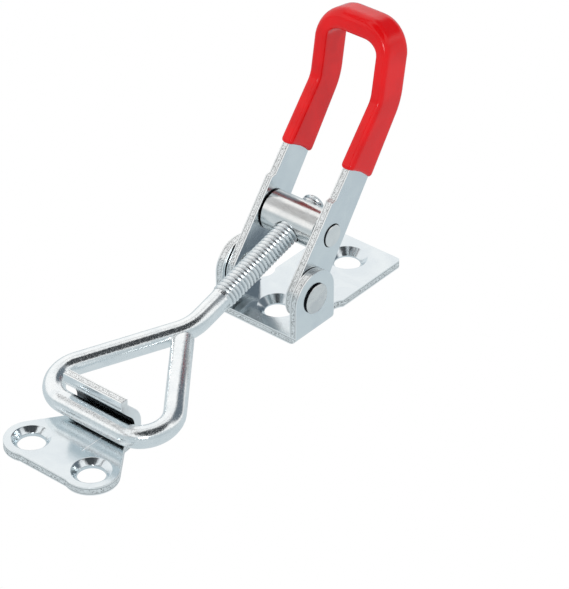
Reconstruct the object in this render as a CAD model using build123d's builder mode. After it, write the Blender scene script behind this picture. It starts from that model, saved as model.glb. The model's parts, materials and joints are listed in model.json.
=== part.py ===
"""Over-centre toggle latch in zinc-plated steel, shown with the lever half raised.

Millimetres. +X runs from the base bracket to the strike, +Z points away from the
mounting face, and the origin lies on that face, midway between the base's screw holes.
The latch is symmetrical about the XZ plane, apart from the cut end of the hook rod.
"""

from build123d import *
from math import atan2, cos, radians, sin, tan
import os

os.makedirs("parts", exist_ok=True)

# Base bracket: one sheet, with two ears bent up
BASE_SHEET = 1.9
BASE_BEND_INNER = 0.4
EAR_SPAN = 22.8
EAR_RADIUS = 6.4
PIVOT_HEIGHT = 9.4
PIVOT_AHEAD = 1.1
BASE_PLATE_WIDTH = 19.4
BASE_PLATE_TAIL = 7.1
BASE_CORNER_RADIUS = 1.0
RELIEF_RADIUS = 3.2
RELIEF_DEPTH = 0.9
BASE_HOLE_PITCH = 24.3

# Screw holes of both plates
SCREW_HOLE = 6.0
BASE_COUNTERSINK_RIM = 9.1
STRIKE_COUNTERSINK_RIM = 8.4
COUNTERSINK_ANGLE = 90

# Hinge rivets
RIVET_SHANK = 4.0
RIVET_HEAD = 7.1
RIVET_HEAD_FOOT = 6.5
RIVET_HEAD_HEIGHT = 0.75
RIVET_HEAD_EDGE = 0.2
RIVET_CROWN = 4.6
RIVET_CROWN_RISE = 0.2
RIVET_FLANGE = 6.6
RIVET_FLANGE_THICK = 0.7
RIVET_END_PLAY = 0.08
PIN_CLEARANCE = 0.08

# Handle: one strip bent into a long U, with its arms cranked forward
HANDLE_SHEET = 1.9
EAR_TO_ARM = 0.2
ARM_ANGLE = 126.2
CRANK_ANGLE = 26.7
ARM_LOBE_RADIUS = 5.4
SHOULDER_REACH = 20.3
SHOULDER_RUN = 0.9
SHOULDER_FRONT = 4.75
ARM_FRONT = 3.8
ARM_REAR_REACH = 10.0
ARM_REAR = 4.8
CRANK_REACH = 45.0
CRANK_SETBACK = 0.85
CRANK_RADIUS = 6.0
STRIP_WIDTH = 6.9
LOOP_REACH = 16.6
LOOP_CORNER_RADIUS = 7.2

# Handle grip: dipped plastic sleeve, thicker over the top of the loop
GRIP_WALL = 0.65
GRIP_CROWN_WALL = 1.4
GRIP_CORNER_RADIUS = 6.8
GRIP_OPENING_RADIUS = 3.6
GRIP_EDGE_RADIUS = 1.2
GRIP_INNER_CHAMFER = 0.5
GRIP_START = 28.2

# Barrel
BARREL_REACH = 13.8
BARREL_DIAMETER = 9.3
BARREL_TO_ARM = 0.2
BARREL_EDGE = 0.3
SPIGOT_DIAMETER = 5.3
SPIGOT_PROUD = 0.35
SPIGOT_EDGE = 0.2
TAPPED_HOLE_RIM = 7.0
TAPPED_HOLE_RIM_ANGLE = 90

# Hook rod: thread, plain wire and triangular bail
THREAD_DIAMETER = 5.6
THREAD_CLEARANCE = 0.1
THREAD_TIP = 6.2
THREAD_LENGTH = 33.2
THREAD_CHAMFER = 0.7
WIRE_DIAMETER = 4.9
ROD_SET_ANGLE = 1.8
NECK_REACH = 36.5
NECK_RADIUS = 10.0
BAIL_WIDTH = 41.4
BAIL_CORNER_RADIUS = 6.4
BAIL_LEG_SPLAY = 36.4
WIRE_END_GAP = 0.1
WIRE_END_CHAMFER = 0.5
WIRE_END_STUB = 6.0

# Strike plate: one sheet, with its rear end curled up into a hook
STRIKE_SHEET = 2.0
CROSSBAR_REACH = 57.6
CROSSBAR_LIFT = 0.6
CROSSBAR_TO_WALL = 0.8
HOOK_WIDTH = 16.2
HOOK_BEND_INNER = 3.0
HOOK_WALL_HEIGHT = 6.75
HOOK_LIP_RUN = 3.8
HOOK_LIP_ANGLE = 45.0
HOOK_TIP_RADIUS = 3.5
HOOK_HEIGHT = 13.0
STRIKE_HOLE_SETBACK = 10.3
STRIKE_HOLE_PITCH = 16.8
STRIKE_LOBE_RADIUS = 5.85
STRIKE_FRONT_SETBACK = 0.35

# Places that follow from the sizes above
ear_outer = EAR_SPAN / 2
ear_inner = ear_outer - BASE_SHEET
arm_outer = ear_inner - EAR_TO_ARM
arm_inner = arm_outer - HANDLE_SHEET
loop_depth = CRANK_REACH + LOOP_REACH
front_hole_x = BASE_HOLE_PITCH / 2
pivot = Vector(front_hole_x + PIVOT_AHEAD, 0, PIVOT_HEIGHT)
ear_rear_x = pivot.X - EAR_RADIUS

arm_dir = Vector(cos(radians(ARM_ANGLE)), 0, sin(radians(ARM_ANGLE)))
arm_plane = Plane(origin=pivot, x_dir=arm_dir, z_dir=(0, 1, 0))
crank_centre = (CRANK_REACH, -CRANK_SETBACK)
upper_angle = radians(ARM_ANGLE - CRANK_ANGLE)
upper_front = Vector(sin(upper_angle), 0, -cos(upper_angle))
loop_plane = Plane(
    origin=arm_plane.from_local_coords((*crank_centre, 0)),
    x_dir=(0, 1, 0),
    z_dir=upper_front,
)

barrel_centre = pivot + arm_dir * BARREL_REACH
wire_radius = WIRE_DIAMETER / 2
crossbar = Vector(pivot.X + CROSSBAR_REACH, 0, STRIKE_SHEET + CROSSBAR_LIFT + wire_radius)
draw_line = crossbar - barrel_centre
rod_pitch = atan2(draw_line.Z, draw_line.X) - radians(ROD_SET_ANGLE)
rod_dir = Vector(cos(rod_pitch), 0, sin(rod_pitch))
neck = barrel_centre + rod_dir * NECK_REACH
thread_tip = barrel_centre - rod_dir * THREAD_TIP
thread_end = thread_tip + rod_dir * THREAD_LENGTH

# Base bracket
with BuildPart() as base_bracket:
    # Channel of floor and ears, one sheet thick all round
    with BuildSketch(Plane.YZ.offset(ear_rear_x)):
        with BuildLine():
            FilletPolyline(
                (-ear_outer, PIVOT_HEIGHT + EAR_RADIUS),
                (-ear_outer, 0),
                (ear_outer, 0),
                (ear_outer, PIVOT_HEIGHT + EAR_RADIUS),
                radius=BASE_BEND_INNER + BASE_SHEET,
            )
            offset(amount=BASE_SHEET, side=Side.LEFT)
        make_face()
    extrude(amount=2 * EAR_RADIUS)

    # Ears rounded about the hinge axis
    with BuildSketch(Plane.XZ):
        with Locations((pivot.X, 0)):
            Rectangle(2 * EAR_RADIUS, PIVOT_HEIGHT, align=(Align.CENTER, Align.MIN))
        with Locations((pivot.X, PIVOT_HEIGHT)):
            Circle(EAR_RADIUS)
    extrude(amount=ear_outer, both=True, mode=Mode.INTERSECT)

    # Plate behind the ears, with a round bend relief at each ear's root
    relief_y = BASE_PLATE_WIDTH / 2 - RELIEF_DEPTH + RELIEF_RADIUS
    plate_rear_x = -front_hole_x - BASE_PLATE_TAIL
    with BuildSketch() as plate:
        with Locations((plate_rear_x, 0)):
            Rectangle(ear_rear_x - plate_rear_x, BASE_PLATE_WIDTH, align=(Align.MIN, Align.CENTER))
        fillet(plate.vertices().group_by(Axis.X)[0], radius=BASE_CORNER_RADIUS)
        with Locations((ear_rear_x - RELIEF_RADIUS, relief_y), (ear_rear_x - RELIEF_RADIUS, -relief_y)):
            Circle(RELIEF_RADIUS, mode=Mode.SUBTRACT)
    extrude(amount=BASE_SHEET)

    # Screw holes on the centre line, and the rivet holes through both ears
    with Locations((front_hole_x, 0, BASE_SHEET), (-front_hole_x, 0, BASE_SHEET)):
        CounterSinkHole(SCREW_HOLE / 2, BASE_COUNTERSINK_RIM / 2, counter_sink_angle=COUNTERSINK_ANGLE)
    with Locations(Plane(origin=pivot + Vector(0, ear_outer, 0), z_dir=(0, 1, 0))):
        Hole(RIVET_SHANK / 2)

base_bracket.part.label = "base_bracket"
export_step(base_bracket.part, "parts/base_bracket.step")

# Hinge rivets: head outside the ear, flange inside the handle's arm
for side_name, side in (("left", 1), ("right", -1)):
    rivet_plane = Plane(origin=pivot, x_dir=(1, 0, 0), z_dir=(0, 0, side))
    with BuildPart() as pivot_rivet:
        with BuildSketch(rivet_plane):
            flange_face = arm_inner - RIVET_END_PLAY
            head_face = ear_outer + RIVET_HEAD_HEIGHT
            head_rim = head_face - RIVET_CROWN_RISE
            with BuildLine():
                Polyline(
                    (0, flange_face - RIVET_FLANGE_THICK),
                    (RIVET_FLANGE / 2, flange_face - RIVET_FLANGE_THICK),
                    (RIVET_FLANGE / 2, flange_face),
                    (RIVET_SHANK / 2, flange_face),
                    (RIVET_SHANK / 2, ear_outer),
                    (RIVET_HEAD_FOOT / 2, ear_outer),
                    (RIVET_HEAD / 2, head_rim - RIVET_HEAD_EDGE),
                    (RIVET_HEAD / 2 - RIVET_HEAD_EDGE, head_rim),
                    (RIVET_CROWN / 2, head_face),
                    (0, head_face),
                    close=True,
                )
            make_face()
        revolve(axis=Axis(pivot, (0, 1, 0)))
    rivet_name = "pivot_rivet_" + side_name
    pivot_rivet.part.label = rivet_name
    export_step(pivot_rivet.part, "parts/" + rivet_name + ".step")

# Handle
half_crank = radians(CRANK_ANGLE / 2)


def strip_edges(half_width, end_reach):
    """Corner points of the cranked strip, front edge then rear edge, from a half width."""
    mitre = Vector(-sin(half_crank), cos(half_crank)) * (half_width / cos(half_crank))
    upper = Vector(cos(2 * half_crank), sin(2 * half_crank))
    across = Vector(-upper.Y, upper.X) * half_width
    corner = Vector(*crank_centre)
    top = corner + upper * end_reach
    return corner + mitre, top + across, top - across, corner - mitre


with BuildPart() as handle:
    front_crank, front_top, rear_top, rear_crank = strip_edges(STRIP_WIDTH / 2, LOOP_REACH)
    with BuildSketch(arm_plane) as arm_side:
        with BuildLine():
            Polyline(
                (0, ARM_LOBE_RADIUS),
                (SHOULDER_REACH, SHOULDER_FRONT),
                (SHOULDER_REACH + SHOULDER_RUN, ARM_FRONT),
                front_crank,
                front_top,
                rear_top,
                rear_crank,
                (ARM_REAR_REACH, -ARM_REAR),
                (0, -ARM_LOBE_RADIUS),
                close=True,
            )
        make_face()
        crank_corners = arm_side.vertices().sort_by_distance(front_crank)[0:1]
        fillet(crank_corners, radius=CRANK_RADIUS)
        crank_corners = arm_side.vertices().sort_by_distance(rear_crank)[0:1]
        fillet(crank_corners, radius=CRANK_RADIUS + STRIP_WIDTH)
        Circle(ARM_LOBE_RADIUS)
    extrude(amount=arm_outer, both=True)

    # The strip's outline seen along its width, outside and inside the loop
    with BuildSketch(loop_plane) as outside:
        with Locations((0, LOOP_REACH)):
            Rectangle(2 * arm_outer, 2 * loop_depth, align=(Align.CENTER, Align.MAX))
        fillet(outside.vertices().group_by(Axis.Y)[-1], radius=LOOP_CORNER_RADIUS)
    extrude(amount=loop_depth, both=True, mode=Mode.INTERSECT)
    with BuildSketch(loop_plane) as inside:
        with Locations((0, LOOP_REACH - HANDLE_SHEET)):
            Rectangle(2 * arm_inner, 2 * loop_depth, align=(Align.CENTER, Align.MAX))
        fillet(inside.vertices().group_by(Axis.Y)[-1], radius=LOOP_CORNER_RADIUS - HANDLE_SHEET)
    extrude(amount=loop_depth, both=True, mode=Mode.SUBTRACT)

    # Holes for the rivets and for the barrel's spigots
    with Locations(Plane(origin=pivot + Vector(0, arm_outer, 0), z_dir=(0, 1, 0))):
        Hole(RIVET_SHANK / 2 + PIN_CLEARANCE)
    with Locations(Plane(origin=barrel_centre + Vector(0, arm_outer, 0), z_dir=(0, 1, 0))):
        Hole(SPIGOT_DIAMETER / 2 + PIN_CLEARANCE)

handle.part.label = "handle"
export_step(handle.part, "parts/handle.step")

# Handle grip
with BuildPart() as handle_grip:
    grip_half_width = STRIP_WIDTH / 2 + GRIP_WALL
    grip_reach = LOOP_REACH + GRIP_CROWN_WALL
    front_crank, front_top, rear_top, rear_crank = strip_edges(grip_half_width, grip_reach)
    with BuildSketch(arm_plane) as grip_side:
        hem_share = (CRANK_REACH - GRIP_START) / (CRANK_REACH - SHOULDER_REACH)
        hem_front = ARM_FRONT * hem_share + (front_crank.Y - GRIP_WALL) * (1 - hem_share) + GRIP_WALL
        hem_rear = ARM_REAR * hem_share - (rear_crank.Y + GRIP_WALL) * (1 - hem_share) + GRIP_WALL
        with BuildLine():
            Polyline(
                (GRIP_START, hem_front),
                front_crank,
                front_top,
                rear_top,
                rear_crank,
                (GRIP_START, -hem_rear),
                close=True,
            )
        make_face()
        crank_corners = grip_side.vertices().sort_by_distance(front_crank)[0:1]
        fillet(crank_corners, radius=CRANK_RADIUS - GRIP_WALL)
        crank_corners = grip_side.vertices().sort_by_distance(rear_crank)[0:1]
        fillet(crank_corners, radius=CRANK_RADIUS + STRIP_WIDTH + GRIP_WALL)
    extrude(amount=arm_outer + GRIP_WALL, both=True)
    with BuildSketch(loop_plane) as outside:
        with Locations((0, grip_reach)):
            Rectangle(2 * (arm_outer + GRIP_WALL), 2 * loop_depth, align=(Align.CENTER, Align.MAX))
        fillet(outside.vertices().group_by(Axis.Y)[-1], radius=GRIP_CORNER_RADIUS)
    extrude(amount=loop_depth, both=True, mode=Mode.INTERSECT)

    # Outer edges rounded all the way round the loop, inner edges broken
    hem = handle_grip.faces().sort_by(Axis(pivot, arm_dir))[0]
    fillet(handle_grip.edges() - hem.edges(), radius=GRIP_EDGE_RADIUS)
    with BuildSketch(loop_plane) as inside:
        with Locations((0, LOOP_REACH - HANDLE_SHEET - GRIP_CROWN_WALL)):
            Rectangle(2 * (arm_inner - GRIP_WALL), 2 * loop_depth, align=(Align.CENTER, Align.MAX))
        fillet(inside.vertices().group_by(Axis.Y)[-1], radius=GRIP_OPENING_RADIUS)
    extrude(amount=loop_depth, both=True, mode=Mode.SUBTRACT)
    hems = handle_grip.faces().sort_by(Axis(pivot, arm_dir))[0:2]
    chamfer(handle_grip.edges(Select.LAST) - hems.edges(), length=GRIP_INNER_CHAMFER)

    # The strip itself fills the sleeve
    add(handle.part, mode=Mode.SUBTRACT)

handle_grip.part.label = "handle_grip"
export_step(handle_grip.part, "parts/handle_grip.step")

# Barrel
with BuildPart() as barrel:
    barrel_half = arm_inner - BARREL_TO_ARM
    spigot_end = arm_outer + SPIGOT_PROUD
    with BuildSketch(Plane(origin=barrel_centre, x_dir=(1, 0, 0), z_dir=(0, 0, 1))):
        with BuildLine():
            Polyline(
                (0, spigot_end),
                (SPIGOT_DIAMETER / 2 - SPIGOT_EDGE, spigot_end),
                (SPIGOT_DIAMETER / 2, spigot_end - SPIGOT_EDGE),
                (SPIGOT_DIAMETER / 2, barrel_half),
                (BARREL_DIAMETER / 2 - BARREL_EDGE, barrel_half),
                (BARREL_DIAMETER / 2, barrel_half - BARREL_EDGE),
                (BARREL_DIAMETER / 2, 0),
                (0, 0),
                close=True,
            )
        make_face()
    revolve(axis=Axis(barrel_centre, (0, 1, 0)))
    mirror(about=Plane.XZ)

    # Tapped cross hole, countersunk at both mouths
    for mouth_dir in (rod_dir, -rod_dir):
        with Locations(Plane(origin=barrel_centre + mouth_dir * BARREL_DIAMETER / 2, z_dir=mouth_dir)):
            CounterSinkHole(
                THREAD_DIAMETER / 2 + THREAD_CLEARANCE,
                TAPPED_HOLE_RIM / 2,
                counter_sink_angle=TAPPED_HOLE_RIM_ANGLE,
            )

barrel.part.label = "barrel"
export_step(barrel.part, "parts/barrel.step")

# Hook rod: the free leg's end is cut to lie along the flank of the other leg
bail_dir = (crossbar - neck).normalized()
left_corner = crossbar - Vector(0, BAIL_WIDTH / 2, 0)
right_corner = crossbar + Vector(0, BAIL_WIDTH / 2, 0)
splay = radians(BAIL_LEG_SPLAY)
free_leg_dir = bail_dir * -cos(splay) - Vector(0, sin(splay), 0)
closed_leg_dir = (left_corner - neck).normalized()
flank_dir = (Vector(0, 1, 0) - closed_leg_dir * closed_leg_dir.Y).normalized()
flank_plane = Plane(origin=neck + flank_dir * (wire_radius + WIRE_END_GAP), z_dir=flank_dir)
flank_distance = (right_corner - flank_plane.origin).dot(flank_dir)
free_leg_length = -flank_distance / free_leg_dir.dot(flank_dir)
stub_start = right_corner + free_leg_dir * (free_leg_length - WIRE_END_STUB)

with BuildPart() as wire_end:
    with BuildSketch(Plane(origin=stub_start, z_dir=free_leg_dir)):
        Circle(wire_radius)
    extrude(amount=WIRE_END_STUB + WIRE_DIAMETER)
    split(bisect_by=flank_plane, keep=Keep.TOP)
    cut_face = wire_end.faces().filter_by(GeomType.PLANE).sort_by_distance(neck)[0]
    chamfer(cut_face.edges(), length=WIRE_END_CHAMFER)

with BuildPart() as hook_rod:
    with BuildSketch(Plane(origin=thread_tip, z_dir=rod_dir)):
        Circle(THREAD_DIAMETER / 2)
    extrude(amount=THREAD_LENGTH)
    tip_face = hook_rod.faces().filter_by(GeomType.PLANE).sort_by_distance(thread_tip)[0]
    chamfer(tip_face.edges(), length=THREAD_CHAMFER)
    with BuildLine() as wire_line:
        FilletPolyline(
            thread_end - rod_dir * wire_radius,
            neck,
            left_corner,
            right_corner,
            stub_start,
            radius=[NECK_RADIUS, BAIL_CORNER_RADIUS, BAIL_CORNER_RADIUS],
        )
    with BuildSketch(Plane(origin=thread_end - rod_dir * wire_radius, z_dir=rod_dir)):
        Circle(wire_radius)
    sweep(path=wire_line.wires()[0])
    add(wire_end.part)

hook_rod.part.label = "hook_rod"
export_step(hook_rod.part, "parts/hook_rod.step")

# Strike plate
with BuildPart() as strike_plate:
    wall_x = crossbar.X - wire_radius - CROSSBAR_TO_WALL
    hole_x = crossbar.X + STRIKE_HOLE_SETBACK

    # Sheet in side view: floor, wall, lip and tip of the hook
    lip_rise = HOOK_LIP_RUN * tan(radians(HOOK_LIP_ANGLE))
    with BuildSketch(Plane.XZ):
        with BuildLine():
            FilletPolyline(
                (hole_x, STRIKE_SHEET),
                (wall_x, STRIKE_SHEET),
                (wall_x, HOOK_WALL_HEIGHT),
                (wall_x + HOOK_LIP_RUN, HOOK_WALL_HEIGHT + lip_rise),
                (wall_x + HOOK_LIP_RUN, HOOK_HEIGHT),
                radius=[HOOK_BEND_INNER, HOOK_BEND_INNER, HOOK_TIP_RADIUS],
            )
            offset(amount=STRIKE_SHEET, side=Side.LEFT)
        make_face()
    extrude(amount=HOOK_WIDTH / 2, both=True)

    # Plate with a lobe round each screw hole, set back a little between the lobes
    hole_y = STRIKE_HOLE_PITCH / 2
    lobe_front_x = hole_x + STRIKE_LOBE_RADIUS
    with BuildSketch():
        with Locations((hole_x, hole_y), (hole_x, -hole_y)):
            Circle(STRIKE_LOBE_RADIUS)
        with Locations((crossbar.X, 0)):
            Rectangle(STRIKE_SHEET, HOOK_WIDTH, align=(Align.MIN, Align.CENTER))
        make_hull()
        with Locations((lobe_front_x, 0)):
            Rectangle(2 * STRIKE_FRONT_SETBACK, STRIKE_HOLE_PITCH, mode=Mode.SUBTRACT)
        with Locations((hole_x, hole_y), (hole_x, -hole_y)):
            Circle(STRIKE_LOBE_RADIUS)
    extrude(amount=STRIKE_SHEET)
    with Locations((hole_x, hole_y, STRIKE_SHEET), (hole_x, -hole_y, STRIKE_SHEET)):
        CounterSinkHole(SCREW_HOLE / 2, STRIKE_COUNTERSINK_RIM / 2, counter_sink_angle=COUNTERSINK_ANGLE)

strike_plate.part.label = "strike_plate"
export_step(strike_plate.part, "parts/strike_plate.step")
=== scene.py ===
import json
from math import cos, pi, radians, sin, tan

import bmesh
import bpy
from mathutils import Matrix, Vector


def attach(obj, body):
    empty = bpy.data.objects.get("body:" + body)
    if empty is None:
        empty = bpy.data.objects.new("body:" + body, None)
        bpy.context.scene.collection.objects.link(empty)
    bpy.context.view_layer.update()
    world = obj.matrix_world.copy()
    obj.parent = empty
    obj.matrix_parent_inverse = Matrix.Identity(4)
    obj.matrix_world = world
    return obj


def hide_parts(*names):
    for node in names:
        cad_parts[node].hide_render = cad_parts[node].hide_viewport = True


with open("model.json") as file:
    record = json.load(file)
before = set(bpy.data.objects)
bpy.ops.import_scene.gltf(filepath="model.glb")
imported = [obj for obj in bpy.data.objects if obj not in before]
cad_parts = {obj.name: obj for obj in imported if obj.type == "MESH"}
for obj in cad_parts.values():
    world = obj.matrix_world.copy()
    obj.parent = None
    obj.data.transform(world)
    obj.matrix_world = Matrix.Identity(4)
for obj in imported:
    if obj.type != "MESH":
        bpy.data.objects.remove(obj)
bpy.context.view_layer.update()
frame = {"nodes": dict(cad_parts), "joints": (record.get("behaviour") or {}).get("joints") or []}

# Base bracket: one piece of bright zinc-plated sheet steel, cut out in a press and
# folded so that two ears stand up for the lever's rivets. It keeps its solid's shape.
# The sheet is smooth and faintly cloudy, and its sheared edges are streaky and rough.

SHEET_THICKNESS = 0.0019
SHEET_EDGE_ROUND = 0.00014
EAR_REAR_X = 0.0070
EAR_INNER_Y = 0.0095
BASE_HOLE_X = 0.01215
BASE_RIM_RADIUS = 0.0046


def add_node(tree, kind, inputs=None, **settings):
    """Puts a node in a tree, sets its properties and fills or links its inputs."""
    node = tree.nodes.new(kind)
    for key, value in settings.items():
        setattr(node, key, value)
    for key, value in (inputs or {}).items():
        if isinstance(value, bpy.types.NodeSocket):
            tree.links.new(value, node.inputs[key])
        else:
            node.inputs[key].default_value = value
    return node


def calc(tree, operation, first, second=0.0):
    """The result of a sum, product or the like of two values or sockets."""
    return add_node(tree, "ShaderNodeMath", {0: first, 1: second}, operation=operation).outputs[0]


def overlap(tree, *masks):
    """The product of several masks, which is 1 where they all are 1."""
    shared = masks[0]
    for mask in masks[1:]:
        shared = calc(tree, "MULTIPLY", shared, mask)
    return shared


def outside(tree, mask):
    """1 where the mask is 0, and 0 where it is 1."""
    return calc(tree, "SUBTRACT", 1.0, mask)


def remap(tree, value, low, high, to_low, to_high):
    """A value moved from one range to another, clamped, with soft ends."""
    ends = {"Value": value, "From Min": low, "From Max": high, "To Min": to_low, "To Max": to_high}
    node = add_node(tree, "ShaderNodeMapRange", ends, interpolation_type="SMOOTHSTEP")
    return node.outputs["Result"]


def mix_colours(tree, factor, first, second):
    """A colour that goes from the first to the second as the factor goes from 0 to 1."""
    node = add_node(tree, "ShaderNodeMix", data_type="RGBA")
    for key, value in (("Factor_Float", factor), ("A_Color", first), ("B_Color", second)):
        socket = next(item for item in node.inputs if item.identifier == key)
        if isinstance(value, bpy.types.NodeSocket):
            tree.links.new(value, socket)
        else:
            socket.default_value = value
    return next(item for item in node.outputs if item.identifier == "Result_Color")


def mix_numbers(tree, factor, first, second):
    """A number that goes from the first to the second as the factor goes from 0 to 1."""
    return add_node(tree, "ShaderNodeMix", {0: factor, 2: first, 3: second}, data_type="FLOAT").outputs[0]


def noise(tree, vector, scale, detail, roughness=0.5, distortion=0.0):
    """A cloudy pattern, whose scale is in waves a metre."""
    inputs = {"Vector": vector, "Scale": scale, "Detail": detail, "Roughness": roughness,
              "Distortion": distortion}
    return add_node(tree, "ShaderNodeTexNoise", inputs).outputs["Fac"]


def bumped(tree, height, strength, distance):
    """The surface's direction, tilted as if the height stood out of it."""
    inputs = {"Height": height, "Strength": strength, "Distance": distance}
    return add_node(tree, "ShaderNodeBump", inputs).outputs["Normal"]


def split(tree, vector):
    """The X, Y and Z of a vector."""
    return add_node(tree, "ShaderNodeSeparateXYZ", {"Vector": vector}).outputs


def colour(red, green, blue):
    """A display colour from 0 to 255 as a linear colour with full alpha."""
    def linear(channel):
        share = channel / 255
        return share / 12.92 if share <= 0.04045 else ((share + 0.055) / 1.055) ** 2.4
    return (linear(red), linear(green), linear(blue), 1.0)


def build_plating_group():
    """Masks of a plated surface: broad clouds, fine grain and long thin scratches."""
    group = bpy.data.node_groups.new("zinc plating", "ShaderNodeTree")
    for name, kind in (("Vector", "NodeSocketVector"), ("Cloud Scale", "NodeSocketFloat"),
                       ("Grain Scale", "NodeSocketFloat")):
        group.interface.new_socket(name=name, in_out="INPUT", socket_type=kind)
    for name in ("Cloud", "Grain", "Scratch"):
        group.interface.new_socket(name=name, in_out="OUTPUT", socket_type="NodeSocketFloat")
    entry = add_node(group, "NodeGroupInput").outputs
    scratch_turn = (0.3, 0.5, 0.9)
    scratch_waves = (60.0, 2200.0, 900.0)
    drawn_out = add_node(group, "ShaderNodeMapping", {"Vector": entry["Vector"], "Rotation": scratch_turn,
                                                      "Scale": scratch_waves}).outputs[0]
    masks = {"Cloud": noise(group, entry["Vector"], entry["Cloud Scale"], 4.0, 0.6, 0.6),
             "Grain": noise(group, entry["Vector"], entry["Grain Scale"], 3.0, 0.7),
             "Scratch": remap(group, noise(group, drawn_out, 1.0, 1.0), 0.66, 0.74, 0.0, 1.0)}
    add_node(group, "NodeGroupOutput", masks)
    return group


plating = build_plating_group()
CLOUD_SPREAD = (0.3, 0.7)


def plating_masks(tree, vector, cloud_scale, grain_scale):
    """The plating's masks, at a material's own scales in waves a metre."""
    inputs = {"Vector": vector, "Cloud Scale": cloud_scale, "Grain Scale": grain_scale}
    return add_node(tree, "ShaderNodeGroup", inputs, node_tree=plating).outputs


def cloudy_colour(tree, masks, bright, shade):
    """A plated surface's colour, which goes from bright to shade over its clouds."""
    return mix_colours(tree, remap(tree, masks["Cloud"], *CLOUD_SPREAD, 0.0, 1.0), bright, shade)


def start_material(name):
    """A material with an empty tree, and the coordinates that its patterns read."""
    material = bpy.data.materials.new(name)
    material.use_nodes = True
    tree = material.node_tree
    tree.nodes.clear()
    return material, tree, add_node(tree, "ShaderNodeTexCoord").outputs


def add_shader(tree, inputs):
    """The material's shader, its inputs filled or linked, and joined to the output."""
    shader = add_node(tree, "ShaderNodeBsdfPrincipled", inputs)
    add_node(tree, "ShaderNodeOutputMaterial", {"Surface": shader.outputs["BSDF"]})


ZINC_BRIGHT = colour(234, 240, 242)
ZINC_SHADE = colour(226, 233, 237)
# Painted shade for the walls of the narrow space inside the strike's hook curl
CURL_PAINTED_SHADE = colour(30, 34, 38)
BARE_MARK = colour(255, 255, 255)
SHEAR_BRIGHT = colour(252, 254, 254)
SHEAR_DARK = colour(92, 94, 94)
SHEAR_ROUGHNESS = 0.36
SCRATCH_ROUGHNESS = 0.12
SHEET_CLOUDS = 160.0
SHEET_DULL_SPREAD = (0.3, 0.75)
SHEET_GRAIN = 2600.0
SHEET_GRAIN_SHARE = 0.35
SHEET_SPECKLES = 4600.0
SHEET_BUMP = 0.00006
# Where a sheared edge's marks begin and end, as shares of the sheet away from its middle
TORN_END = (0.22, 0.3)
RIM_LINE_START = (0.24, 0.3)
RIM_LINE_END = (0.3, 0.36)
RIM_LINE_DARKNESS = 0.8
FLECK_SPREAD = (0.5, 0.62)


def sheared_colour(tree, depth, speckle):
    """Colour of a sheared edge: bright rims, a dark line inside each and a torn middle."""
    off_middle = calc(tree, "ABSOLUTE", calc(tree, "SUBTRACT", depth, 0.5))
    fleck = remap(tree, speckle, *FLECK_SPREAD, 0.0, 1.0)
    torn = overlap(tree, fleck, remap(tree, off_middle, *TORN_END, 1.0, 0.0))
    rim_line = overlap(tree, remap(tree, off_middle, *RIM_LINE_START, 0.0, 1.0),
                       remap(tree, off_middle, *RIM_LINE_END, 1.0, 0.0), RIM_LINE_DARKNESS)
    return mix_colours(tree, calc(tree, "MAXIMUM", torn, rim_line), SHEAR_BRIGHT, SHEAR_DARK)


def sheet_steel(name, smooth, rough, edge_mask, edge_depth, shade_paint_mask=None, mark_mask=None):
    """Plated sheet. It is sheared where the edge mask is 1, scraped where the mark mask is, and painted dark
    as shade where the shade mask is.
    """
    material, tree, place = start_material(name)
    spot = split(tree, place["Object"])
    masks = plating_masks(tree, place["Object"], SHEET_CLOUDS, SHEET_GRAIN)
    speckle = noise(tree, place["Object"], SHEET_SPECKLES, 3.0, 0.7)
    face_colour = cloudy_colour(tree, masks, ZINC_BRIGHT, ZINC_SHADE)
    metallic = 1.0
    if shade_paint_mask:
        face_colour = mix_colours(tree, shade_paint_mask(tree, spot), face_colour, CURL_PAINTED_SHADE)
    if mark_mask:
        mark = mark_mask(tree, spot)
        face_colour = mix_colours(tree, mark, face_colour, BARE_MARK)
        metallic = outside(tree, mark)
    edge = edge_mask(tree, spot, split(tree, place["Normal"]))
    edge_colour = sheared_colour(tree, edge_depth(tree, spot), speckle)
    face_roughness = calc(tree, "ADD", remap(tree, masks["Cloud"], *SHEET_DULL_SPREAD, smooth, rough),
                          remap(tree, masks["Scratch"], 0.0, 1.0, 0.0, SCRATCH_ROUGHNESS))
    height = calc(tree, "ADD", calc(tree, "MULTIPLY", masks["Grain"], SHEET_GRAIN_SHARE),
                  calc(tree, "MULTIPLY", speckle, edge))
    add_shader(tree, {"Base Color": mix_colours(tree, edge, face_colour, edge_colour),
                      "Roughness": mix_numbers(tree, edge, face_roughness, SHEAR_ROUGHNESS),
                      "Metallic": metallic, "Normal": bumped(tree, height, 0.35, SHEET_BUMP)})
    return material


def outside_hole(tree, spot, centre_x, centre_y, rim_radius):
    """0 within a countersunk hole's rim and 1 outside it."""
    off_x = calc(tree, "SUBTRACT", spot["X"], centre_x)
    off_y = calc(tree, "SUBTRACT", spot["Y"], centre_y)
    squares = calc(tree, "ADD", calc(tree, "MULTIPLY", off_x, off_x), calc(tree, "MULTIPLY", off_y, off_y))
    return calc(tree, "GREATER_THAN", calc(tree, "SQRT", squares), rim_radius)


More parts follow.
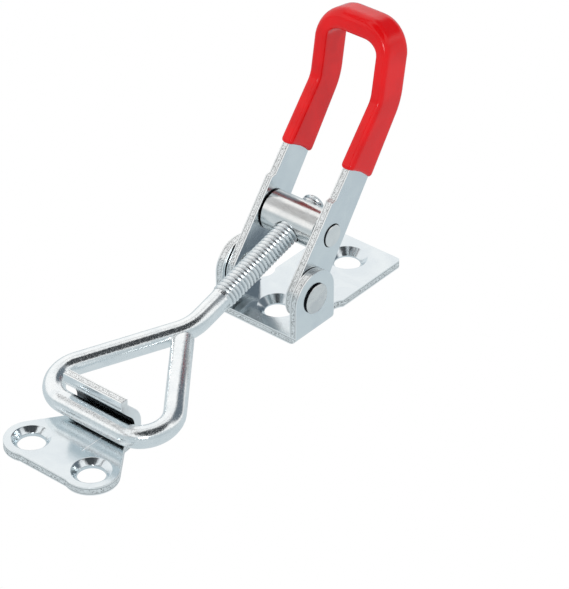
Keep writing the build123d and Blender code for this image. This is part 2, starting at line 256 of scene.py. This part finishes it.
def bracket_edge_mask(tree, spot, facing):
    """1 on the bracket's sheared edges: the plate's outline and the rims of both ears."""
    along = calc(tree, "GREATER_THAN", calc(tree, "ABSOLUTE", facing["X"]), 0.5)
    sideways = calc(tree, "GREATER_THAN", calc(tree, "ABSOLUTE", facing["Y"]), 0.5)
    plate_side = overlap(tree, sideways, calc(tree, "LESS_THAN", spot["X"], EAR_REAR_X))
    above_fold = calc(tree, "GREATER_THAN", spot["Z"], 2 * SHEET_THICKNESS)
    ear_rim = overlap(tree, outside(tree, sideways), above_fold)
    edge = calc(tree, "MAXIMUM", calc(tree, "MAXIMUM", along, plate_side), ear_rim)
    for hole_x in (BASE_HOLE_X, -BASE_HOLE_X):
        edge = overlap(tree, edge, outside_hole(tree, spot, hole_x, 0.0, BASE_RIM_RADIUS))
    return edge


def bracket_edge_depth(tree, spot):
    """How far through the sheet a place on a sheared edge lies, from 0 to 1."""
    in_plate = calc(tree, "DIVIDE", spot["Z"], SHEET_THICKNESS)
    from_inside = calc(tree, "SUBTRACT", calc(tree, "ABSOLUTE", spot["Y"]), EAR_INNER_Y)
    in_ear = calc(tree, "DIVIDE", from_inside, SHEET_THICKNESS)
    on_ear = calc(tree, "GREATER_THAN", spot["Z"], SHEET_THICKNESS)
    return mix_numbers(tree, on_ear, in_plate, in_ear)


def break_edges(piece, width):
    """Gives a solid's sharp edges a small round, with the broad faces still shaded flat."""
    weld = piece.modifiers.new("weld", "WELD")
    weld.merge_threshold = 1e-6
    joined = piece.modifiers.new("flat faces joined", "DECIMATE")
    joined.decimate_type = "DISSOLVE"
    joined.angle_limit = radians(1.5)
    edge_round = piece.modifiers.new("edge round", "BEVEL")
    edge_round.width = width
    edge_round.segments = 2
    edge_round.limit_method = "ANGLE"
    edge_round.angle_limit = radians(35)
    edge_round.use_clamp_overlap = True
    piece.modifiers.new("flat faces", "WEIGHTED_NORMAL")


def give_finish(piece, material):
    """Puts one material on a piece, in place of any that it had."""
    piece.data.materials.clear()
    piece.data.materials.append(material)


bracket = frame["nodes"]["base_bracket"]
break_edges(bracket, SHEET_EDGE_ROUND)
give_finish(bracket, sheet_steel("zinc_sheet_bracket", 0.12, 0.17, bracket_edge_mask, bracket_edge_depth))

# Hinge rivets: two short steel rivets that carry the lever in the bracket's ears. Each
# has a spun, slightly crowned head outside and a flange inside. They keep their solids.

TURNED_EDGE_ROUND = 0.00008
TURNED_CLOUDS = 300.0
TURNED_GRAIN = 4200.0
TURNED_BUMP = 0.00004
# Where shade is painted in the narrow gap beside a rivet's head, as distances from the latch's middle
RIVET_GAP = (0.0112, 0.01182)
RIVET_BRIGHT = colour(236, 236, 234)
RIVET_SHADE = colour(214, 216, 218)
# Painted shade for the narrow gaps beside the rivets' heads and round the barrel's spigots
GAP_PAINTED_SHADE = colour(34, 36, 40)


def turned_steel(name, bright, shade, smooth, rough, gap):
    """Plated turned steel, with shade painted dark round it in the gap beside a sheet.

    The gap is given by how far from the latch's middle it starts and ends.
    """
    material, tree, place = start_material(name)
    masks = plating_masks(tree, place["Object"], TURNED_CLOUDS, TURNED_GRAIN)
    from_middle = calc(tree, "ABSOLUTE", split(tree, place["Object"])["Y"])
    in_gap = overlap(tree, calc(tree, "GREATER_THAN", from_middle, gap[0]),
                     calc(tree, "LESS_THAN", from_middle, gap[1]))
    steel = cloudy_colour(tree, masks, bright, shade)
    add_shader(tree, {"Base Color": mix_colours(tree, in_gap, steel, GAP_PAINTED_SHADE),
                      "Roughness": remap(tree, masks["Cloud"], *CLOUD_SPREAD, smooth, rough),
                      "Metallic": 1.0, "Normal": bumped(tree, masks["Grain"], 0.2, TURNED_BUMP)})
    return material


rivet_finish = turned_steel("rivet_steel_spun", RIVET_BRIGHT, RIVET_SHADE, 0.24, 0.34, RIVET_GAP)
for rivet_name in ("pivot_rivet_left", "pivot_rivet_right"):
    rivet = frame["nodes"][rivet_name]
    break_edges(rivet, TURNED_EDGE_ROUND)
    give_finish(rivet, rivet_finish)

# Lever: one strip of zinc-plated sheet steel bent into a long U with cranked arms. It
# keeps its solid's shape, and its bare arms show broad faces and rough sheared edges.

ARM_INNER_Y = 0.0074


def lever_edge_mask(tree, spot, facing):
    """1 on the strip's sheared edges, which are all the faces that don't look sideways."""
    return remap(tree, calc(tree, "ABSOLUTE", facing["Y"]), 0.5, 0.7, 1.0, 0.0)


def lever_edge_depth(tree, spot):
    """How far through the strip a place on an arm's sheared edge lies, from 0 to 1."""
    from_inside = calc(tree, "SUBTRACT", calc(tree, "ABSOLUTE", spot["Y"]), ARM_INNER_Y)
    return calc(tree, "DIVIDE", from_inside, SHEET_THICKNESS)


lever = frame["nodes"]["handle"]
break_edges(lever, SHEET_EDGE_ROUND)
give_finish(lever, sheet_steel("zinc_sheet_lever", 0.16, 0.26, lever_edge_mask, lever_edge_depth))

# Grip: soft red plastic that the lever's loop was dipped in. It is one glossy skin, a
# little fuller over the loop's top, and it ends in rounded hems on both arms.

ARM_ANGLE = radians(126.2)
CRANK_ANGLE = radians(26.7)
CRANK_REACH = 0.0450
CRANK_SETBACK = 0.00085
CRANK_BEND = 0.00945
ARM_MIDDLE_Y = ARM_INNER_Y + SHEET_THICKNESS / 2
LOOP_BEND = 0.0052
LOOP_BEND_Y = 0.00315
LOOP_BEND_REACH = 0.01045
GRIP_HALF_WIDTH = 0.0041
GRIP_WALL = 0.00065
OUTER_EDGE_ROUND = 0.00105
INNER_EDGE_ROUND = 0.0009
EDGE_ROUND_LIMIT = 0.95
CROWN_EXTRA = 0.00075
CROWN_FULLNESS = 1.4
HEM_REACH = 0.0282
HEM_SETBACK = 0.0006
HEM_HALF_WIDTH = 0.00468
HEM_RISE = 0.00055
HEM_FADE = 0.004
# How far past the hem the skin has which share of its full wall
HEM_LIP = ((0.0, -0.1), (0.00002, 0.35), (0.00012, 0.6), (0.00032, 0.82), (0.0006, 0.95), (0.001, 1.0),
           (0.002, 1.0), (HEM_FADE, 1.0), (0.008, 1.0), (0.012, 1.0))
CORNER_STEPS = 7
CRANK_STEPS = 8
UPPER_ARM_STEPS = 4
LOOP_STEPS = 12

joint_place = {joint["name"]: joint for joint in frame["joints"]}
lever_pivot = Vector(joint_place["handle_pivot"]["pos_m"])


def along_arm(angle):
    """The direction up an arm that rises at an angle from +X, and the one across its front."""
    return Vector((cos(angle), 0, sin(angle))), Vector((sin(angle), 0, -cos(angle)))


lower_dir, lower_front = along_arm(ARM_ANGLE)
upper_dir, upper_front = along_arm(ARM_ANGLE - CRANK_ANGLE)
crank_point = lever_pivot + lower_dir * CRANK_REACH - lower_front * CRANK_SETBACK
crank_shift = CRANK_BEND * tan(CRANK_ANGLE / 2)


def skin_ring(centre, front, outward, half_width, wall, crown=0.0, rise=0.0, fullness=0.0):
    """Points round the grip's skin in one place, a rectangle with rounded corners."""
    half_thick = SHEET_THICKNESS / 2 + wall
    outer_round = OUTER_EDGE_ROUND * (1 + fullness)
    round_limit = EDGE_ROUND_LIMIT * half_thick
    rounds = {1: (outer_round, min(outer_round, round_limit)),
              -1: (INNER_EDGE_ROUND, min(INNER_EDGE_ROUND, round_limit))}

    def on_corner(side_a, side_b, angle):
        across_round, through_round = rounds[side_b]
        return Vector((side_a * (half_width - across_round) + across_round * cos(angle),
                       side_b * (half_thick - through_round) + through_round * sin(angle)))

    quarters = ((1, 1), (-1, 1), (-1, -1), (1, -1), (1, 1))
    outline = []
    for turn, quarter in enumerate(quarters[:-1]):
        for step in range(CORNER_STEPS + 1):
            angle = (turn + step / CORNER_STEPS) * pi / 2
            outline.append(on_corner(*quarter, angle))
        leave = outline[-1]
        arrive = on_corner(*quarters[turn + 1], angle)
        for share in (0.1, 0.5, 0.9):
            outline.append(leave.lerp(arrive, share))
    ring = []
    for across, through in outline:
        lift = upper_dir * crown * through / half_thick
        curve = lower_dir * rise * (1 - (across / half_width) ** 2)
        ring.append(centre + front * across + outward * through + lift + curve)
    return ring


def arm_rings(side):
    """Rings of one arm from its hem up to the middle of the loop's top."""
    outward = Vector((0, side, 0))
    middle = outward * ARM_MIDDLE_Y
    rings = []
    lower_length = CRANK_REACH - crank_shift - HEM_REACH
    for past, share in HEM_LIP:
        along = past / lower_length
        setback = HEM_SETBACK + (CRANK_SETBACK - HEM_SETBACK) * along
        half_width = HEM_HALF_WIDTH + (GRIP_HALF_WIDTH - HEM_HALF_WIDTH) * along
        centre = lever_pivot + lower_dir * (HEM_REACH + past) - lower_front * setback + middle
        wall = GRIP_WALL * share
        rings.append(skin_ring(centre, lower_front, outward, half_width - GRIP_WALL + wall, wall,
                               rise=HEM_RISE * max(0.0, 1 - past / HEM_FADE)))
    bend_centre = crank_point - lower_dir * crank_shift + lower_front * CRANK_BEND + middle
    for step in range(CRANK_STEPS + 1):
        front = along_arm(ARM_ANGLE - CRANK_ANGLE * step / CRANK_STEPS)[1]
        rings.append(skin_ring(bend_centre - front * CRANK_BEND, front, outward, GRIP_HALF_WIDTH, GRIP_WALL))
    for step in range(1, UPPER_ARM_STEPS):
        reach = crank_shift + (LOOP_BEND_REACH - crank_shift) * step / UPPER_ARM_STEPS
        centre = crank_point + upper_dir * reach + middle
        rings.append(skin_ring(centre, upper_front, outward, GRIP_HALF_WIDTH, GRIP_WALL))
    for step in range(LOOP_STEPS + 1):
        angle = step / LOOP_STEPS * pi / 2
        radial = outward * cos(angle) + upper_dir * sin(angle)
        centre = crank_point + upper_dir * LOOP_BEND_REACH + outward * LOOP_BEND_Y + radial * LOOP_BEND
        rings.append(skin_ring(centre, upper_front, radial, GRIP_HALF_WIDTH, GRIP_WALL,
                               crown=CROWN_EXTRA * sin(angle), fullness=CROWN_FULLNESS * sin(angle)))
    return rings


def make_piece(name, shape, smooth=True):
    """Makes an object of a finished bmesh and puts it in the scene."""
    for face in shape.faces:
        face.smooth = smooth
    mesh = bpy.data.meshes.new(name)
    shape.to_mesh(mesh)
    shape.free()
    piece = bpy.data.objects.new(name, mesh)
    bpy.context.scene.collection.objects.link(piece)
    return piece


GRIP_RED = colour(234, 5, 12)
GRIP_DEEP_RED = colour(220, 4, 10)
GRIP_MIRRORED = colour(124, 88, 86)
GRIP_MIRRORED_SHARE = 0.8
GRIP_IOR = 1.42
DIP_WAVES = 140.0
DIP_HEIGHT = 0.0004
DUST_WAVES = 1500.0


def dipped_plastic():
    """Glossy soft plastic, faintly uneven from the dip, which metal mirrors as a dull brown."""
    material, tree, place = start_material("grip_plastic_red")
    flow = noise(tree, place["Object"], DIP_WAVES, 2.0)
    dust = noise(tree, place["Object"], DUST_WAVES, 3.0)
    red = mix_colours(tree, remap(tree, flow, 0.35, 0.65, 0.0, 1.0), GRIP_RED, GRIP_DEEP_RED)
    ray = add_node(tree, "ShaderNodeLightPath").outputs
    mirrored = calc(tree, "MULTIPLY", ray["Is Glossy Ray"], GRIP_MIRRORED_SHARE)
    add_shader(tree, {"Base Color": mix_colours(tree, mirrored, red, GRIP_MIRRORED),
                      "Roughness": remap(tree, dust, 0.3, 0.7, 0.13, 0.17), "IOR": GRIP_IOR,
                      "Normal": bumped(tree, flow, 0.25, DIP_HEIGHT)})
    return material


skin = bmesh.new()
rim = []
for ring in arm_rings(-1) + arm_rings(1)[::-1]:
    points = [skin.verts.new(point) for point in ring]
    next_rim = [skin.edges.new(pair) for pair in zip(points, points[1:] + points[:1])]
    if rim:
        bmesh.ops.bridge_loops(skin, edges=rim + next_rim)
    rim = next_rim
bmesh.ops.remove_doubles(skin, verts=skin.verts, dist=1e-7)
bmesh.ops.recalc_face_normals(skin, faces=skin.faces)
grip = make_piece("grip_skin", skin)
give_finish(grip, dipped_plastic())
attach(grip, "handle")
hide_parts("handle_grip")

# Barrel: a turned cross bar between the arms, with spigots that turn in the arms and a
# tapped hole for the hook rod. It keeps its solid's shape.

# Where shade is painted round the barrel's spigots, as distances from the latch's middle
SPIGOT_GAP = (0.0070, 0.00955)
BARREL_BRIGHT = colour(244, 244, 242)
BARREL_SHADE = colour(232, 234, 234)
barrel = frame["nodes"]["barrel"]
break_edges(barrel, TURNED_EDGE_ROUND)
give_finish(barrel, turned_steel("turned_steel_barrel", BARREL_BRIGHT, BARREL_SHADE, 0.15, 0.22, SPIGOT_GAP))

# Hook rod: one length of zinc-plated steel wire with a rolled thread at one end. The
# other end is bent round into a triangle whose crossbar lies in the strike's hook.

THREAD_RADIUS = 0.0028
THREAD_ROOT_RADIUS = 0.00232
THREAD_PITCH = 0.001
THREAD_TIP = 0.0062
THREAD_LENGTH = 0.0332
THREAD_RUN_OUT = 0.0012
THREAD_CHAMFER = 0.0007
# One pitch of the thread's outline, as shares of a pitch and of the thread's depth
THREAD_SHAPE = ((0.0, 0.0), (0.07, 0.0), (0.36, 0.9), (0.43, 1.0), (0.57, 1.0), (0.64, 0.9), (0.93, 0.0),
                (1.0, 0.0))
SPARE_TURNS = 2
TURN_STEPS = 36
WIRE_RADIUS = 0.00245
NECK_REACH = 0.0365
NECK_BEND = 0.010
BAIL_WIDTH = 0.0414
BAIL_BEND = 0.0064
BAIL_LEG_SPLAY = radians(36.4)
WIRE_END_GAP = 0.0001
WIRE_END_ROUND = 0.0007
BEND_STEP = radians(4)
MERGE_REACH = 2e-6
CUT_REACH = 1e-7

barrel_centre = Vector(joint_place["barrel_pivot"]["pos_m"])
crossbar = Vector(joint_place["hook_pivot"]["pos_m"])
rod_dir = Vector(joint_place["thread_adjust"]["axis"]).normalized()
side_dir = Vector((0, 1, 0))

thread_tip = barrel_centre - rod_dir * THREAD_TIP
thread_end = thread_tip + rod_dir * THREAD_LENGTH
neck = barrel_centre + rod_dir * NECK_REACH
closed_corner = crossbar - side_dir * BAIL_WIDTH / 2
free_corner = crossbar + side_dir * BAIL_WIDTH / 2
bail_dir = (crossbar - neck).normalized()
free_leg_dir = bail_dir * -cos(BAIL_LEG_SPLAY) - side_dir * sin(BAIL_LEG_SPLAY)
closed_leg_dir = (closed_corner - neck).normalized()
flank_dir = (side_dir - closed_leg_dir * closed_leg_dir.y).normalized()
flank_point = neck + flank_dir * (WIRE_RADIUS + WIRE_END_GAP)

# The rolled thread: its outline is spun along the rod, cut to length, faded out into the
# plain wire at one end and chamfered at the tip
wire = bmesh.new()
outline = []
spin_start = thread_tip - rod_dir * SPARE_TURNS * THREAD_PITCH
for along, rise in THREAD_SHAPE:
    radius = THREAD_ROOT_RADIUS + (THREAD_RADIUS - THREAD_ROOT_RADIUS) * rise
    outline.append(wire.verts.new(spin_start + rod_dir * along * THREAD_PITCH + side_dir * radius))
outline_edges = [wire.edges.new(pair) for pair in zip(outline, outline[1:])]
turns = round(THREAD_LENGTH / THREAD_PITCH) + 2 * SPARE_TURNS
bmesh.ops.spin(wire, geom=outline + outline_edges, cent=spin_start, axis=rod_dir,
               dvec=rod_dir * THREAD_PITCH / TURN_STEPS, angle=2 * pi * turns,
               steps=turns * TURN_STEPS, use_merge=False)
bmesh.ops.remove_doubles(wire, verts=wire.verts, dist=MERGE_REACH)
for end_point, outward in ((thread_tip, -rod_dir), (thread_end, rod_dir)):
    bmesh.ops.bisect_plane(wire, geom=wire.verts[:] + wire.edges[:] + wire.faces[:], dist=CUT_REACH,
                           plane_co=end_point, plane_no=outward, clear_outer=True)
bmesh.ops.remove_doubles(wire, verts=wire.verts, dist=MERGE_REACH)
for vert in wire.verts:
    along = (vert.co - thread_tip).dot(rod_dir)
    foot = thread_tip + rod_dir * along
    across = vert.co - foot
    fade = min(1.0, (THREAD_LENGTH - along) / THREAD_RUN_OUT)
    radius = WIRE_RADIUS + (across.length - WIRE_RADIUS) * fade
    radius = min(radius, THREAD_RADIUS - THREAD_CHAMFER + along)
    vert.co = foot + across.normalized() * radius


def rim_at(point, facing):
    """The open rim of the wire's skin that lies in the plane through a point."""
    return [edge for edge in wire.edges if edge.is_boundary
            and all(abs((vert.co - point).dot(facing)) < 1e-5 for vert in edge.verts)]


def only(kind, geometry):
    """The vertices or the edges in a list of mixed geometry."""
    return [item for item in geometry if isinstance(item, kind)]


def grow(rim, reach):
    """Carries the wire on from its open rim, and gives the new rim's points and edges."""
    grown = bmesh.ops.extrude_edge_only(wire, edges=rim)["geom"]
    points = only(bmesh.types.BMVert, grown)
    bmesh.ops.translate(wire, verts=points, vec=reach)
    return points, only(bmesh.types.BMEdge, grown)


# The plain wire: a straight and a bend for the neck and for each corner of the bail
bmesh.ops.holes_fill(wire, edges=rim_at(thread_tip, rod_dir), sides=0)
rim = rim_at(thread_end, rod_dir)
here = thread_end
corners = (neck, closed_corner, free_corner, free_corner + free_leg_dir)
for corner, after, bend in zip(corners, corners[1:], (NECK_BEND, BAIL_BEND, BAIL_BEND)):
    inward = (corner - here).normalized()
    leaving = (after - corner).normalized()
    turn = inward.angle(leaving)
    setback = bend * tan(turn / 2)
    axis = inward.cross(leaving).normalized()
    bend_start = corner - inward * setback
    points, rim = grow(rim, bend_start - here)
    spun = bmesh.ops.spin(wire, geom=points + rim, cent=bend_start + axis.cross(inward) * bend, axis=axis,
                          angle=turn, steps=round(turn / BEND_STEP), use_merge=False)
    rim = only(bmesh.types.BMEdge, spun["geom_last"])
    here = corner + leaving * setback

# The free leg: it is made too long, and cut along the flank of the other leg
leg_length = -(here - flank_point).dot(flank_dir) / free_leg_dir.dot(flank_dir) + 2 * WIRE_RADIUS
points, rim = grow(rim, free_leg_dir * leg_length)
leg_faces = [face for face in wire.faces if any(vert in points for vert in face.verts)]
leg_geom = {item for face in leg_faces for item in (*face.verts, *face.edges, face)}
bmesh.ops.bisect_plane(wire, geom=list(leg_geom), dist=CUT_REACH, plane_co=flank_point, plane_no=flank_dir,
                       clear_inner=True)
cut_rim = [edge for edge in wire.edges if edge.is_boundary]
cap = bmesh.ops.holes_fill(wire, edges=cut_rim, sides=0)["faces"]
bmesh.ops.bevel(wire, geom=[edge for face in cap for edge in face.edges], offset=WIRE_END_ROUND,
                offset_type="OFFSET", affect="EDGES", segments=3, profile=0.5, material=-1,
                clamp_overlap=True)
bmesh.ops.recalc_face_normals(wire, faces=wire.faces)
hook_rod = make_piece("hook_rod_wire", wire)

WIRE_BRIGHT = colour(250, 252, 252)
WIRE_SHADE = colour(238, 243, 245)
WIRE_CLOUDS = 240.0
WIRE_GRAIN = 2600.0
WIRE_BUMP = 0.0001
PIT_WAVES = 4200.0
PIT_SPREAD = (0.52, 0.6)
PIT_ROUGHNESS = 0.24
THREAD_ROUGHNESS = 0.12
# Painted shade in the thread's roots, which fades out towards the crests
ROOT_PAINTED_SHADE = colour(110, 126, 136)
ROOT_PAINTED_SHADE_SHARE = 0.5
ROOT_PAINTED_SHADE_END = 0.97 * THREAD_RADIUS


def vector_calc(tree, operation, first, second=(0, 0, 0)):
    """The outputs of a sum, product or the like of two vectors."""
    return add_node(tree, "ShaderNodeVectorMath", {0: first, 1: second}, operation=operation).outputs


def drawn_wire():
    """Bright plated wire, broken up by fine pits, rougher over the thread and with shade painted darker into
    its roots.
    """
    material, tree, place = start_material("zinc_wire_bright")
    masks = plating_masks(tree, place["Object"], WIRE_CLOUDS, WIRE_GRAIN)
    past_tip = vector_calc(tree, "SUBTRACT", place["Object"], thread_tip)["Vector"]
    along = vector_calc(tree, "DOT_PRODUCT", past_tip, rod_dir)["Value"]
    off_axis = vector_calc(tree, "CROSS_PRODUCT", past_tip, rod_dir)["Vector"]
    radius = vector_calc(tree, "LENGTH", off_axis)["Value"]
    on_thread = remap(tree, along, THREAD_LENGTH - THREAD_RUN_OUT, THREAD_LENGTH, 1.0, 0.0)
    in_root = remap(tree, radius, THREAD_ROOT_RADIUS, ROOT_PAINTED_SHADE_END, ROOT_PAINTED_SHADE_SHARE, 0.0)
    steel = cloudy_colour(tree, masks, WIRE_BRIGHT, WIRE_SHADE)
    pitted = remap(tree, noise(tree, place["Object"], PIT_WAVES, 2.0), *PIT_SPREAD, 0.0, PIT_ROUGHNESS)
    dulled = calc(tree, "MAXIMUM", calc(tree, "MULTIPLY", on_thread, THREAD_ROUGHNESS), pitted)
    polish = remap(tree, masks["Cloud"], *CLOUD_SPREAD, 0.06, 0.12)
    add_shader(tree, {"Base Color": mix_colours(tree, overlap(tree, in_root, on_thread), steel, ROOT_PAINTED_SHADE),
                      "Roughness": calc(tree, "ADD", polish, dulled),
                      "Metallic": 1.0, "Normal": bumped(tree, masks["Grain"], 0.26, WIRE_BUMP)})
    return material


give_finish(hook_rod, drawn_wire())
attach(hook_rod, "hook_rod")
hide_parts("hook_rod")

# Strike: one piece of zinc-plated sheet whose rear end is curled up and forward into a
# hook. Two countersunk screws hold it down. It keeps its solid's shape.

STRIKE_THICKNESS = 0.0020
STRIKE_HOLE_Y = 0.0084
STRIKE_RIM_RADIUS = 0.0043
HOOK_TIP_Z = 0.01292
# Heights and reach over which the painted shade inside the hook's curl fades out
CURL_FLOOR_FADE = (0.0045, 0.0065)
CURL_MOUTH_FADE = (0.0073, 0.0088)
CURL_FRONT_FADE = 0.0012
SCRATCH_Y = 0.00266
SCRATCH_SIDES = (0.00004, 0.00009)
# Places along the strike are measured from the crossbar that lies in its hook
strike_hole_x = crossbar.x + 0.0103
hook_tip_x = crossbar.x - 0.00145
curl_rear_x = crossbar.x - 0.0033
curl_front_x = crossbar.x - 0.00035
scratch_start_x = crossbar.x + 0.00085
scratch_end_x = crossbar.x + 0.00695


def strike_edge_mask(tree, spot, facing):
    """1 on the strike's sheared edges: its sides, its front outline and the hook's tip."""
    sideways = calc(tree, "GREATER_THAN", calc(tree, "ABSOLUTE", facing["Y"]), 0.4)
    front = overlap(tree, calc(tree, "GREATER_THAN", facing["X"], 0.5),
                    calc(tree, "GREATER_THAN", spot["X"], strike_hole_x))
    at_tip = calc(tree, "GREATER_THAN", spot["Z"], HOOK_TIP_Z)
    edge = calc(tree, "MAXIMUM", calc(tree, "MAXIMUM", sideways, front), at_tip)
    for hole_y in (STRIKE_HOLE_Y, -STRIKE_HOLE_Y):
        edge = overlap(tree, edge, outside_hole(tree, spot, strike_hole_x, hole_y, STRIKE_RIM_RADIUS))
    return edge


def strike_edge_depth(tree, spot):
    """How far through the sheet a place on the floor's outline or the hook's tip lies, 0 to 1."""
    at_tip = calc(tree, "GREATER_THAN", spot["Z"], HOOK_TIP_Z)
    depth = mix_numbers(tree, at_tip, spot["Z"], calc(tree, "SUBTRACT", spot["X"], hook_tip_x))
    return calc(tree, "DIVIDE", depth, STRIKE_THICKNESS)


def hook_shadow(tree, spot):
    """1 on the walls of the narrow space inside the hook's curl, where shade is painted dark on the plating.
    """
    return overlap(tree, remap(tree, spot["X"], curl_front_x, curl_front_x + CURL_FRONT_FADE, 1.0, 0.0),
                   calc(tree, "GREATER_THAN", spot["X"], curl_rear_x),
                   calc(tree, "GREATER_THAN", spot["Z"], STRIKE_THICKNESS),
                   remap(tree, spot["Z"], *CURL_FLOOR_FADE, 0.75, 1.0),
                   remap(tree, spot["Z"], *CURL_MOUTH_FADE, 1.0, 0.0))


def strike_scratch(tree, spot):
    """1 on a long thin scratch that runs forward from the crossbar over the strike's floor."""
    off_line = calc(tree, "ABSOLUTE", calc(tree, "SUBTRACT", spot["Y"], SCRATCH_Y))
    return overlap(tree, remap(tree, off_line, *SCRATCH_SIDES, 0.9, 0.0),
                   calc(tree, "GREATER_THAN", spot["X"], scratch_start_x),
                   calc(tree, "LESS_THAN", spot["X"], scratch_end_x))


strike = frame["nodes"]["strike_plate"]
break_edges(strike, SHEET_EDGE_ROUND)
give_finish(strike, sheet_steel("zinc_sheet_strike", 0.12, 0.17, strike_edge_mask, strike_edge_depth,
                                hook_shadow, strike_scratch))

# Studio: a pale floor under a white room, which is grey below and has dark gaps between
# its screens that the bright metal shows as dark bands. One soft lamp stands in front.

FLOOR_SIZE = 3.0
FLOOR_DROP = 0.00005
FLOOR_GREY = (0.8, 0.8, 0.8, 1)
FLOOR_MIRRORED = (0.61, 0.67, 0.70, 1)
WHITE = (1.0, 1.0, 1.0, 1)


def glow(tree, kind, tint, strength=1.0):
    """A shader that gives off light, Background in the room and Emission on the floor."""
    return add_node(tree, "ShaderNode" + kind, {"Color": tint, "Strength": strength}).outputs[0]


def by_ray(tree, lighting, mirrored, seen):
    """One shader for the light on the object, one for what metal mirrors, one for the camera."""
    ray = add_node(tree, "ShaderNodeLightPath").outputs
    around = add_node(tree, "ShaderNodeMixShader", {0: ray["Is Glossy Ray"], 1: lighting, 2: mirrored})
    whole = add_node(tree, "ShaderNodeMixShader", {0: ray["Is Camera Ray"], 1: around.outputs[0], 2: seen})
    return whole.outputs[0]


floor_shape = bmesh.new()
bmesh.ops.create_grid(floor_shape, x_segments=1, y_segments=1, size=FLOOR_SIZE / 2)
bmesh.ops.translate(floor_shape, verts=floor_shape.verts, vec=(0, 0, -FLOOR_DROP))
floor = make_piece("floor", floor_shape, smooth=False)
floor_material, floor_tree, _ = start_material("pale_floor")
matt = add_node(floor_tree, "ShaderNodeBsdfDiffuse", {"Color": FLOOR_GREY}).outputs[0]
floor_shader = by_ray(floor_tree, matt, glow(floor_tree, "Emission", FLOOR_MIRRORED),
                      glow(floor_tree, "Emission", WHITE))
add_node(floor_tree, "ShaderNodeOutputMaterial", {"Surface": floor_shader})
give_finish(floor, floor_material)

# Directions in the room, as the turn from +X and the rise over the horizon in degrees
CAMERA_SIDE = (40, 0)
GAP_ABOVE = (48, 68)
GAP_BEHIND = (162, 42)
SEAM_SIDE = (-50, 40)
PAPER_RISE = 0.48
PAPER_GREY = (0.52, 0.58, 0.61, 1)
GAP_ABOVE_DARK = (0.05, 0.055, 0.06, 1)
GAP_BEHIND_DARK = (0.13, 0.16, 0.19, 1)
SEAM_DARK = (0.06, 0.06, 0.07, 1)
ROOM_LIGHT = 0.9

world = bpy.data.worlds.new("studio")
bpy.context.scene.world = world
world.use_nodes = True
room = world.node_tree
room.nodes.clear()
look = add_node(room, "ShaderNodeTexCoord").outputs["Generated"]


def spot_mask(direction, inner, outer):
    """1 within an inner angle of a direction in the room, and 0 beyond an outer one, in degrees."""
    turn, rise = (radians(angle) for angle in direction)
    aim = Vector((cos(turn) * cos(rise), sin(turn) * cos(rise), sin(rise)))
    nearness = vector_calc(room, "DOT_PRODUCT", look, aim)["Value"]
    return remap(room, nearness, cos(radians(outer)), cos(radians(inner)), 0.0, 1.0)


paper_edge = calc(room, "MULTIPLY", spot_mask(CAMERA_SIDE, 30, 110), PAPER_RISE)
over_paper = remap(room, calc(room, "SUBTRACT", split(room, look)["Z"], paper_edge), -0.05, 0.16, 0.0, 1.0)
seam = overlap(room, spot_mask(GAP_ABOVE, 50, 54), outside(room, spot_mask(GAP_ABOVE, 44, 50)),
               spot_mask(SEAM_SIDE, 30, 60))
mirrored = mix_colours(room, over_paper, PAPER_GREY, WHITE)
mirrored = mix_colours(room, spot_mask(GAP_ABOVE, 24, 34), mirrored, GAP_ABOVE_DARK)
mirrored = mix_colours(room, spot_mask(GAP_BEHIND, 22, 36), mirrored, GAP_BEHIND_DARK)
mirrored = mix_colours(room, seam, mirrored, SEAM_DARK)
room_shader = by_ray(room, glow(room, "Background", WHITE, ROOM_LIGHT), glow(room, "Background", mirrored),
                     glow(room, "Background", WHITE))
add_node(room, "ShaderNodeOutputWorld", {"Surface": room_shader})

LAMP_PLACE = Vector((0.50, 0.28, 0.26))
LAMP_AIM = Vector((0.03, 0.0, 0.02))
LAMP_SIZE = 0.12
LAMP_POWER = 0.42
lamp = bpy.data.lights.new("front_lamp", "AREA")
lamp.shape = "SQUARE"
lamp.size = LAMP_SIZE
lamp.energy = LAMP_POWER
lamp_stand = bpy.data.objects.new("front_lamp", lamp)
lamp_stand.location = LAMP_PLACE
lamp_stand.rotation_euler = (LAMP_AIM - LAMP_PLACE).to_track_quat("-Z", "Y").to_euler()
bpy.context.scene.collection.objects.link(lamp_stand)

# Camera: a long lens that looks down on the latch from beyond the strike, on its left
# side. Its place was worked out from the outlines in the photo.

IMAGE_WIDTH = 569
FOCAL_PIXELS = 2888.9
SENSOR_WIDTH = 36.0
CAMERA_TURN = radians(129.715)
CAMERA_RISE = radians(34.731)
CAMERA_ROLL = radians(0.049)
CAMERA_DISTANCE = 0.62169
CAMERA_AIM = Vector((0.017104, 0.005966, 0.010))

away = Vector((sin(CAMERA_TURN) * cos(CAMERA_RISE), -cos(CAMERA_TURN) * cos(CAMERA_RISE), sin(CAMERA_RISE)))
level = Vector((cos(CAMERA_TURN), sin(CAMERA_TURN), 0))
upright = away.cross(level)
right = level * cos(CAMERA_ROLL) + upright * sin(CAMERA_ROLL)
up = upright * cos(CAMERA_ROLL) - level * sin(CAMERA_ROLL)
camera_data = bpy.data.cameras.new("camera")
camera_data.sensor_fit = "HORIZONTAL"
camera_data.sensor_width = SENSOR_WIDTH
camera_data.lens = FOCAL_PIXELS * SENSOR_WIDTH / IMAGE_WIDTH
camera = bpy.data.objects.new("camera", camera_data)
camera.matrix_world = Matrix.Translation(CAMERA_AIM + away * CAMERA_DISTANCE) @ Matrix(
    (right, up, away)).transposed().to_4x4()
bpy.context.scene.collection.objects.link(camera)
bpy.context.scene.camera = camera
bpy.context.scene.view_settings.view_transform = "Standard"
